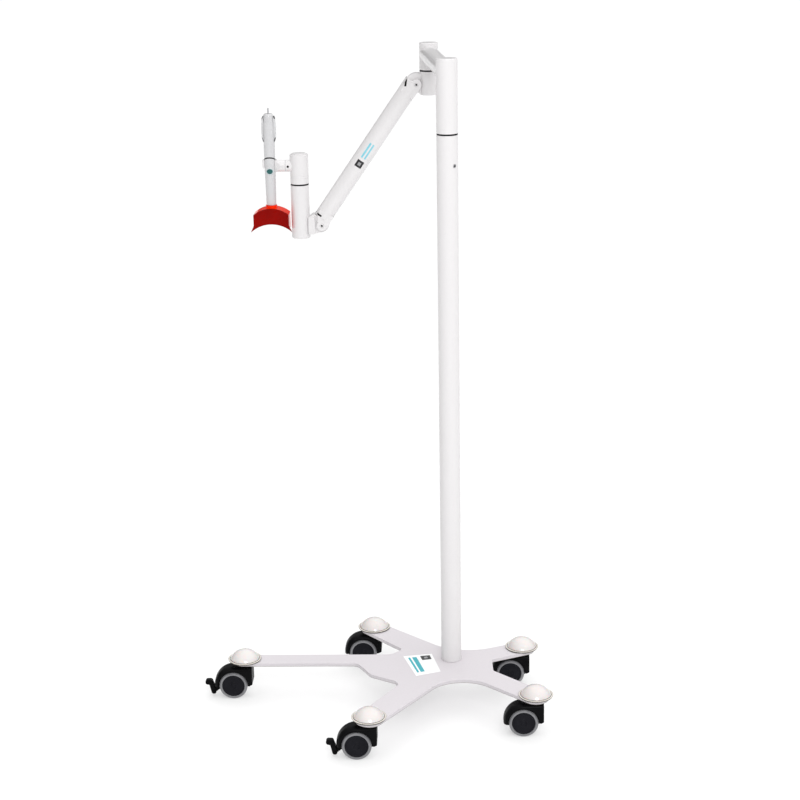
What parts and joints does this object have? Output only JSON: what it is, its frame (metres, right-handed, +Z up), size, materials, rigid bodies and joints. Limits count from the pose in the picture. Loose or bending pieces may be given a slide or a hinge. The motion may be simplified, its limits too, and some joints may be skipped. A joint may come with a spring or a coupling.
{
  "type": "mobile whitening lamp stand",
  "caption": "Mobile floor stand with swivelling boom, parallel-link spring arm and a dental whitening lamp in a clip, with a red light guard.",
  "frame": {"origin": "middle of the bounding box at floor level", "axes": "+Z up; the long leg points to -X; the boom points to +Y at rest, away from the side the lamp's button faces; the button faces -Y"},
  "size_m": [0.735, 0.6804, 1.3477],
  "materials": {
    "plate_paint": "satin",
    "tube_paint": "gloss",
    "dome_plastic": "gloss",
    "black_plastic": "satin",
    "wheel_plastic": "satin",
    "black_rubber": "matte",
    "steel": "satin",
    "lamp_shell": "gloss",
    "teal_button": "satin",
    "red_guard": "gloss",
    "lens_glass": "gloss"
  },
  "bodies": {
    "stand": {"base_plate": "plate_paint", "lower_tube": "tube_paint", "pole_plug": "steel", "pole_bolt": "steel", "pole_spigot": "steel", "swivel_ring": "black_rubber", "spigot_screw": "steel", "dome_cap_long": "dome_plastic", "dome_cap_front_left": "dome_plastic", "dome_cap_front_right": "dome_plastic", "dome_cap_rear_right": "dome_plastic", "dome_cap_rear_left": "dome_plastic", "caster_stem_long": "steel", "caster_stem_front_left": "steel", "caster_stem_front_right": "steel", "caster_stem_rear_right": "steel", "caster_stem_rear_left": "steel"},
    "boom": {"boom": "tube_paint", "elbow_pin": "steel", "elbow_ring": "black_rubber"},
    "shoulder": {"shoulder_knuckle": "tube_paint", "shoulder_pin": "steel"},
    "arm": {"arm_tube": "tube_paint", "gas_spring": "steel"},
    "link": {"link_rod": "steel"},
    "post": {"wrist_post": "tube_paint", "wrist_pin": "steel", "post_spindle": "steel", "post_ring": "black_rubber"},
    "sleeve": {"post_sleeve": "tube_paint", "post_cap": "tube_paint", "clip_screw": "black_plastic"},
    "lamp": {"holder_clip": "tube_paint", "lamp_body": "lamp_shell", "lamp_tail": "lamp_shell", "lamp_lens": "lens_glass", "seam_ring": "black_rubber", "tail_pin": "steel", "side_grip_left": "lamp_shell", "side_grip_right": "lamp_shell", "light_guard": "red_guard"},
    "button": {"power_button": "teal_button"},
    "caster_long": {"caster_hood_long": "black_plastic"},
    "wheel_outer_long": {"wheel_outer_long": "wheel_plastic"},
    "wheel_inner_long": {"wheel_inner_long": "wheel_plastic"},
    "pedal_long": {"brake_pedal_long": "black_plastic"},
    "caster_front_left": {"caster_hood_front_left": "black_plastic"},
    "wheel_outer_front_left": {"wheel_outer_front_left": "wheel_plastic"},
    "wheel_inner_front_left": {"wheel_inner_front_left": "wheel_plastic"},
    "pedal_front_left": {"brake_pedal_front_left": "black_plastic"},
    "caster_front_right": {"caster_hood_front_right": "black_plastic"},
    "wheel_outer_front_right": {"wheel_outer_front_right": "wheel_plastic"},
    "wheel_inner_front_right": {"wheel_inner_front_right": "wheel_plastic"},
    "caster_rear_right": {"caster_hood_rear_right": "black_plastic"},
    "wheel_outer_rear_right": {"wheel_outer_rear_right": "wheel_plastic"},
    "wheel_inner_rear_right": {"wheel_inner_rear_right": "wheel_plastic"},
    "caster_rear_left": {"caster_hood_rear_left": "black_plastic"},
    "wheel_outer_rear_left": {"wheel_outer_rear_left": "wheel_plastic"},
    "wheel_inner_rear_left": {"wheel_inner_rear_left": "wheel_plastic"}
  },
  "joints": [
    {"name": "boom_swivel", "type": "hinge", "parent": "stand", "child": "boom", "pos_m": [0.16125, -0.03185, 1.2], "axis": [0, 0, 1], "continuous": true},
    {"name": "elbow_swivel", "type": "hinge", "parent": "boom", "child": "shoulder", "pos_m": [0.12325, 0.31815, 1.289], "axis": [0, 0, 1], "range_deg": [-180, 75]},
    {"name": "arm_pitch", "type": "hinge", "parent": "shoulder", "child": "arm", "pos_m": [0.09675, 0.31815, 1.259], "axis": [0, 1, 0], "range_deg": [0, 60]},
    {"name": "link_turn", "type": "hinge", "parent": "shoulder", "child": "link", "pos_m": [0.09675, 0.31815, 1.271], "axis": [0, 1, 0], "range_deg": [0, 60]},
    {"name": "wrist_level", "type": "hinge", "parent": "arm", "child": "post", "pos_m": [-0.11287, 0.31815, 0.95739], "axis": [0, 1, 0], "range_deg": [-60, 0]},
    {"name": "post_swivel", "type": "hinge", "parent": "post", "child": "sleeve", "pos_m": [-0.15975, 0.31815, 1.0454], "axis": [0, 0, 1], "range_deg": [-85, 85]},
    {"name": "clip_tilt", "type": "hinge", "parent": "sleeve", "child": "lamp", "pos_m": [-0.18875, 0.31815, 1.087], "axis": [-1, 0, 0], "range_deg": [0, 75]},
    {"name": "button_press", "type": "slide", "parent": "lamp", "child": "button", "axis": [0, 1, 0], "range_m": [0, 0.0007], "stiffness_N_per_m": 800, "springref_m": -0.001},
    {"name": "swivel_long", "type": "hinge", "parent": "stand", "child": "caster_long", "pos_m": [-0.28075, -0.03185, 0.073], "axis": [0, 0, 1], "continuous": true},
    {"name": "spin_outer_long", "type": "hinge", "parent": "caster_long", "child": "wheel_outer_long", "pos_m": [-0.30575, -0.0432, 0.03], "axis": [0, 1, 0], "continuous": true},
    {"name": "spin_inner_long", "type": "hinge", "parent": "caster_long", "child": "wheel_inner_long", "pos_m": [-0.30575, -0.0205, 0.03], "axis": [0, 1, 0], "continuous": true},
    {"name": "brake_long", "type": "hinge", "parent": "caster_long", "child": "pedal_long", "pos_m": [-0.34925, -0.03185, 0.011], "axis": [0, -1, 0], "range_deg": [0, 20]},
    {"name": "swivel_front_left", "type": "hinge", "parent": "stand", "child": "caster_front_left", "pos_m": [-0.00375, -0.30485, 0.073], "axis": [0, 0, 1], "continuous": true},
    {"name": "spin_outer_front_left", "type": "hinge", "parent": "caster_front_left", "child": "wheel_outer_front_left", "pos_m": [-0.02875, -0.3162, 0.03], "axis": [0, 1, 0], "continuous": true},
    {"name": "spin_inner_front_left", "type": "hinge", "parent": "caster_front_left", "child": "wheel_inner_front_left", "pos_m": [-0.02875, -0.2935, 0.03], "axis": [0, 1, 0], "continuous": true},
    {"name": "brake_front_left", "type": "hinge", "parent": "caster_front_left", "child": "pedal_front_left", "pos_m": [-0.07225, -0.30485, 0.011], "axis": [0, -1, 0], "range_deg": [0, 20]},
    {"name": "swivel_front_right", "type": "hinge", "parent": "stand", "child": "caster_front_right", "pos_m": [0.33225, -0.20885, 0.073], "axis": [0, 0, 1], "continuous": true},
    {"name": "spin_outer_front_right", "type": "hinge", "parent": "caster_front_right", "child": "wheel_outer_front_right", "pos_m": [0.30725, -0.2202, 0.03], "axis": [0, 1, 0], "continuous": true},
    {"name": "spin_inner_front_right", "type": "hinge", "parent": "caster_front_right", "child": "wheel_inner_front_right", "pos_m": [0.30725, -0.1975, 0.03], "axis": [0, 1, 0], "continuous": true},
    {"name": "swivel_rear_right", "type": "hinge", "parent": "stand", "child": "caster_rear_right", "pos_m": [0.31325, 0.02415, 0.073], "axis": [0, 0, 1], "continuous": true},
    {"name": "spin_outer_rear_right", "type": "hinge", "parent": "caster_rear_right", "child": "wheel_outer_rear_right", "pos_m": [0.28825, 0.0128, 0.03], "axis": [0, 1, 0], "continuous": true},
    {"name": "spin_inner_rear_right", "type": "hinge", "parent": "caster_rear_right", "child": "wheel_inner_rear_right", "pos_m": [0.28825, 0.0355, 0.03], "axis": [0, 1, 0], "continuous": true},
    {"name": "swivel_rear_left", "type": "hinge", "parent": "stand", "child": "caster_rear_left", "pos_m": [-0.00975, 0.13115, 0.073], "axis": [0, 0, 1], "continuous": true},
    {"name": "spin_outer_rear_left", "type": "hinge", "parent": "caster_rear_left", "child": "wheel_outer_rear_left", "pos_m": [-0.03475, 0.1198, 0.03], "axis": [0, 1, 0], "continuous": true},
    {"name": "spin_inner_rear_left", "type": "hinge", "parent": "caster_rear_left", "child": "wheel_inner_rear_left", "pos_m": [-0.03475, 0.1425, 0.03], "axis": [0, 1, 0], "continuous": true}
  ],
  "couplings": [
    {"joint": "link_turn", "follows": "arm_pitch", "ratio": 1},
    {"joint": "wrist_level", "follows": "arm_pitch", "ratio": -1}
  ]
}
